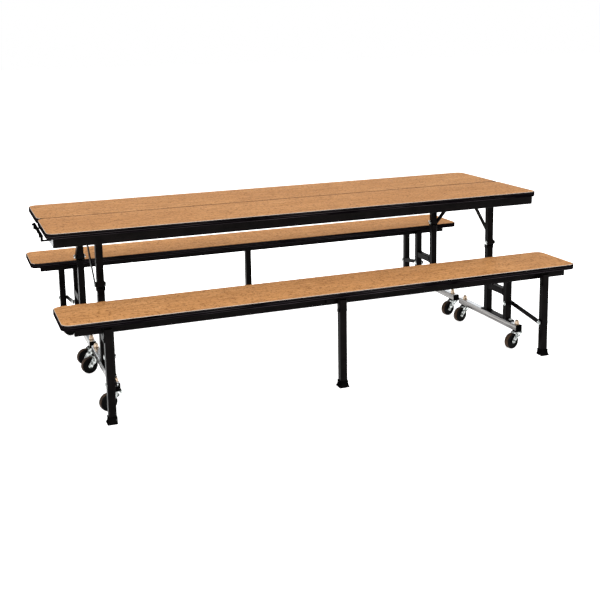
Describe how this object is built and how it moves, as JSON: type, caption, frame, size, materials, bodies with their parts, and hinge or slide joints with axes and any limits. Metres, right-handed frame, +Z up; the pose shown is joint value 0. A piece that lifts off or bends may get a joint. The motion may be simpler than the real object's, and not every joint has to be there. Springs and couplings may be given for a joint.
{
  "type": "cafeteria folding table with benches",
  "caption": "Folding cafeteria table with an attached bench on each side, in two rolling units on swivel casters; leaves and benches fold upright.",
  "frame": {"origin": "on the floor, centred under the seam of the table", "axes": "+X along the table, +Y towards the rear unit, +Z up"},
  "size_m": [2.49, 1.467, 0.737],
  "materials": {
    "oak_laminate": "golden oak woodgrain laminate, satin",
    "black_edging": "moulded black vinyl edging, satin",
    "black_frame": "black powder coat, semi-gloss",
    "bright_bar": "bright chrome plate",
    "zinc": "zinc plate",
    "black_plastic": "moulded black plastic",
    "wheel_rubber": "dark wheel with brownish tread"
  },
  "bodies": {
    "front_base": {"front_ladder_left": "black_frame", "front_ladder_right": "black_frame", "front_caster_bar_left": "bright_bar", "front_caster_bar_right": "bright_bar", "front_bar_caps": "black_plastic", "front_base_bolts": "zinc"},
    "front_leaf": {"front_top_board": "oak_laminate", "front_top_edging": "black_edging", "front_top_rails": "black_frame", "front_top_leg_left": "black_frame", "front_top_leg_right": "black_frame"},
    "front_pull": {"front_release_handle": "black_plastic"},
    "front_bench": {"front_bench_board": "oak_laminate", "front_bench_edging": "black_edging", "front_bench_rails": "black_frame", "front_bench_brackets": "black_frame"},
    "front_bench_legs": {"front_bench_leg_left": "black_frame", "front_bench_leg_mid": "black_frame", "front_bench_leg_right": "black_frame", "front_leg_feet": "black_plastic"},
    "front_links": {"front_link_left": "black_frame", "front_link_right": "black_frame"},
    "front_caster_inner_left": {"front_fork_inner_left": "zinc"},
    "front_roller_inner_left": {"front_wheel_inner_left": "wheel_rubber"},
    "front_caster_outer_left": {"front_fork_outer_left": "zinc"},
    "front_roller_outer_left": {"front_wheel_outer_left": "wheel_rubber"},
    "front_caster_inner_right": {"front_fork_inner_right": "zinc"},
    "front_roller_inner_right": {"front_wheel_inner_right": "wheel_rubber"},
    "front_caster_outer_right": {"front_fork_outer_right": "zinc"},
    "front_roller_outer_right": {"front_wheel_outer_right": "wheel_rubber"},
    "rear_base": {"rear_ladder_left": "black_frame", "rear_ladder_right": "black_frame", "rear_caster_bar_left": "bright_bar", "rear_caster_bar_right": "bright_bar", "rear_bar_caps": "black_plastic", "rear_base_bolts": "zinc"},
    "rear_leaf": {"rear_top_board": "oak_laminate", "rear_top_edging": "black_edging", "rear_top_rails": "black_frame", "rear_top_leg_left": "black_frame", "rear_top_leg_right": "black_frame"},
    "rear_pull": {"rear_release_handle": "black_plastic"},
    "rear_bench": {"rear_bench_board": "oak_laminate", "rear_bench_edging": "black_edging", "rear_bench_rails": "black_frame", "rear_bench_brackets": "black_frame"},
    "rear_bench_legs": {"rear_bench_leg_left": "black_frame", "rear_bench_leg_mid": "black_frame", "rear_bench_leg_right": "black_frame", "rear_leg_feet": "black_plastic"},
    "rear_links": {"rear_link_left": "black_frame", "rear_link_right": "black_frame"},
    "rear_caster_inner_left": {"rear_fork_inner_left": "zinc"},
    "rear_roller_inner_left": {"rear_wheel_inner_left": "wheel_rubber"},
    "rear_caster_outer_left": {"rear_fork_outer_left": "zinc"},
    "rear_roller_outer_left": {"rear_wheel_outer_left": "wheel_rubber"},
    "rear_caster_inner_right": {"rear_fork_inner_right": "zinc"},
    "rear_roller_inner_right": {"rear_wheel_inner_right": "wheel_rubber"},
    "rear_caster_outer_right": {"rear_fork_outer_right": "zinc"},
    "rear_roller_outer_right": {"rear_wheel_outer_right": "wheel_rubber"}
  },
  "joints": [
    {"name": "units_part", "type": "slide", "parent": "front_base", "child": "rear_base", "axis": [0, 1, 0], "range_m": [0, 0.87]},
    {"name": "front_top_fold", "type": "hinge", "parent": "front_base", "child": "front_leaf", "pos_m": [0, -0.292, 0.477], "axis": [-1, 0, 0], "range_deg": [0, 90]},
    {"name": "front_release_pull", "type": "slide", "parent": "front_leaf", "child": "front_pull", "axis": [-1, 0, 0], "range_m": [0, 0.012], "stiffness_N_per_m": 400},
    {"name": "front_bench_fold", "type": "hinge", "parent": "front_base", "child": "front_bench", "pos_m": [0, -0.47, 0.388], "axis": [-1, 0, 0], "range_deg": [0, 90]},
    {"name": "front_legs_swing", "type": "hinge", "parent": "front_bench", "child": "front_bench_legs", "pos_m": [0, -0.71, 0.352], "axis": [-1, 0, 0], "range_deg": [-90, 0]},
    {"name": "front_links_swing", "type": "hinge", "parent": "front_base", "child": "front_links", "pos_m": [0, -0.47, 0.2], "axis": [-1, 0, 0], "range_deg": [0, 90]},
    {"name": "front_swivel_inner_left", "type": "hinge", "parent": "front_base", "child": "front_caster_inner_left", "pos_m": [-0.992, -0.066, 0.08], "axis": [0, 0, 1], "continuous": true},
    {"name": "front_roll_inner_left", "type": "hinge", "parent": "front_caster_inner_left", "child": "front_roller_inner_left", "pos_m": [-1.0287, -0.07583, 0.038], "axis": [0.2588, -0.9659, 0], "continuous": true},
    {"name": "front_swivel_outer_left", "type": "hinge", "parent": "front_base", "child": "front_caster_outer_left", "pos_m": [-0.992, -0.559, 0.08], "axis": [0, 0, 1], "continuous": true},
    {"name": "front_roll_outer_left", "type": "hinge", "parent": "front_caster_outer_left", "child": "front_roller_outer_left", "pos_m": [-1.0287, -0.56883, 0.038], "axis": [0.2588, -0.9659, 0], "continuous": true},
    {"name": "front_swivel_inner_right", "type": "hinge", "parent": "front_base", "child": "front_caster_inner_right", "pos_m": [0.992, -0.066, 0.08], "axis": [0, 0, 1], "continuous": true},
    {"name": "front_roll_inner_right", "type": "hinge", "parent": "front_caster_inner_right", "child": "front_roller_inner_right", "pos_m": [0.9553, -0.07583, 0.038], "axis": [0.2588, -0.9659, 0], "continuous": true},
    {"name": "front_swivel_outer_right", "type": "hinge", "parent": "front_base", "child": "front_caster_outer_right", "pos_m": [0.992, -0.559, 0.08], "axis": [0, 0, 1], "continuous": true},
    {"name": "front_roll_outer_right", "type": "hinge", "parent": "front_caster_outer_right", "child": "front_roller_outer_right", "pos_m": [0.9553, -0.56883, 0.038], "axis": [0.2588, -0.9659, 0], "continuous": true},
    {"name": "rear_top_fold", "type": "hinge", "parent": "rear_base", "child": "rear_leaf", "pos_m": [0, 0.292, 0.477], "axis": [1, 0, 0], "range_deg": [0, 90]},
    {"name": "rear_release_pull", "type": "slide", "parent": "rear_leaf", "child": "rear_pull", "axis": [1, 0, 0], "range_m": [0, 0.012], "stiffness_N_per_m": 400},
    {"name": "rear_bench_fold", "type": "hinge", "parent": "rear_base", "child": "rear_bench", "pos_m": [0, 0.47, 0.388], "axis": [1, 0, 0], "range_deg": [0, 90]},
    {"name": "rear_legs_swing", "type": "hinge", "parent": "rear_bench", "child": "rear_bench_legs", "pos_m": [0, 0.71, 0.352], "axis": [1, 0, 0], "range_deg": [-90, 0]},
    {"name": "rear_links_swing", "type": "hinge", "parent": "rear_base", "child": "rear_links", "pos_m": [0, 0.47, 0.2], "axis": [1, 0, 0], "range_deg": [0, 90]},
    {"name": "rear_swivel_inner_left", "type": "hinge", "parent": "rear_base", "child": "rear_caster_inner_left", "pos_m": [-0.992, 0.066, 0.08], "axis": [0, 0, 1], "continuous": true},
    {"name": "rear_roll_inner_left", "type": "hinge", "parent": "rear_caster_inner_left", "child": "rear_roller_inner_left", "pos_m": [-1.0287, 0.05616, 0.038], "axis": [0.2588, -0.9659, 0], "continuous": true},
    {"name": "rear_swivel_outer_left", "type": "hinge", "parent": "rear_base", "child": "rear_caster_outer_left", "pos_m": [-0.992, 0.559, 0.08], "axis": [0, 0, 1], "continuous": true},
    {"name": "rear_roll_outer_left", "type": "hinge", "parent": "rear_caster_outer_left", "child": "rear_roller_outer_left", "pos_m": [-1.0287, 0.54917, 0.038], "axis": [0.2588, -0.9659, 0], "continuous": true},
    {"name": "rear_swivel_inner_right", "type": "hinge", "parent": "rear_base", "child": "rear_caster_inner_right", "pos_m": [0.992, 0.066, 0.08], "axis": [0, 0, 1], "continuous": true},
    {"name": "rear_roll_inner_right", "type": "hinge", "parent": "rear_caster_inner_right", "child": "rear_roller_inner_right", "pos_m": [0.9553, 0.05616, 0.038], "axis": [0.2588, -0.9659, 0], "continuous": true},
    {"name": "rear_swivel_outer_right", "type": "hinge", "parent": "rear_base", "child": "rear_caster_outer_right", "pos_m": [0.992, 0.559, 0.08], "axis": [0, 0, 1], "continuous": true},
    {"name": "rear_roll_outer_right", "type": "hinge", "parent": "rear_caster_outer_right", "child": "rear_roller_outer_right", "pos_m": [0.9553, 0.54917, 0.038], "axis": [0.2588, -0.9659, 0], "continuous": true}
  ],
  "couplings": [
    {"joint": "rear_top_fold", "follows": "units_part", "rad_per_m": 1.8055},
    {"joint": "front_top_fold", "follows": "units_part", "rad_per_m": 1.8055},
    {"joint": "front_legs_swing", "follows": "front_bench_fold", "ratio": -1},
    {"joint": "front_links_swing", "follows": "front_bench_fold", "ratio": 1},
    {"joint": "rear_legs_swing", "follows": "rear_bench_fold", "ratio": -1},
    {"joint": "rear_links_swing", "follows": "rear_bench_fold", "ratio": 1}
  ]
}
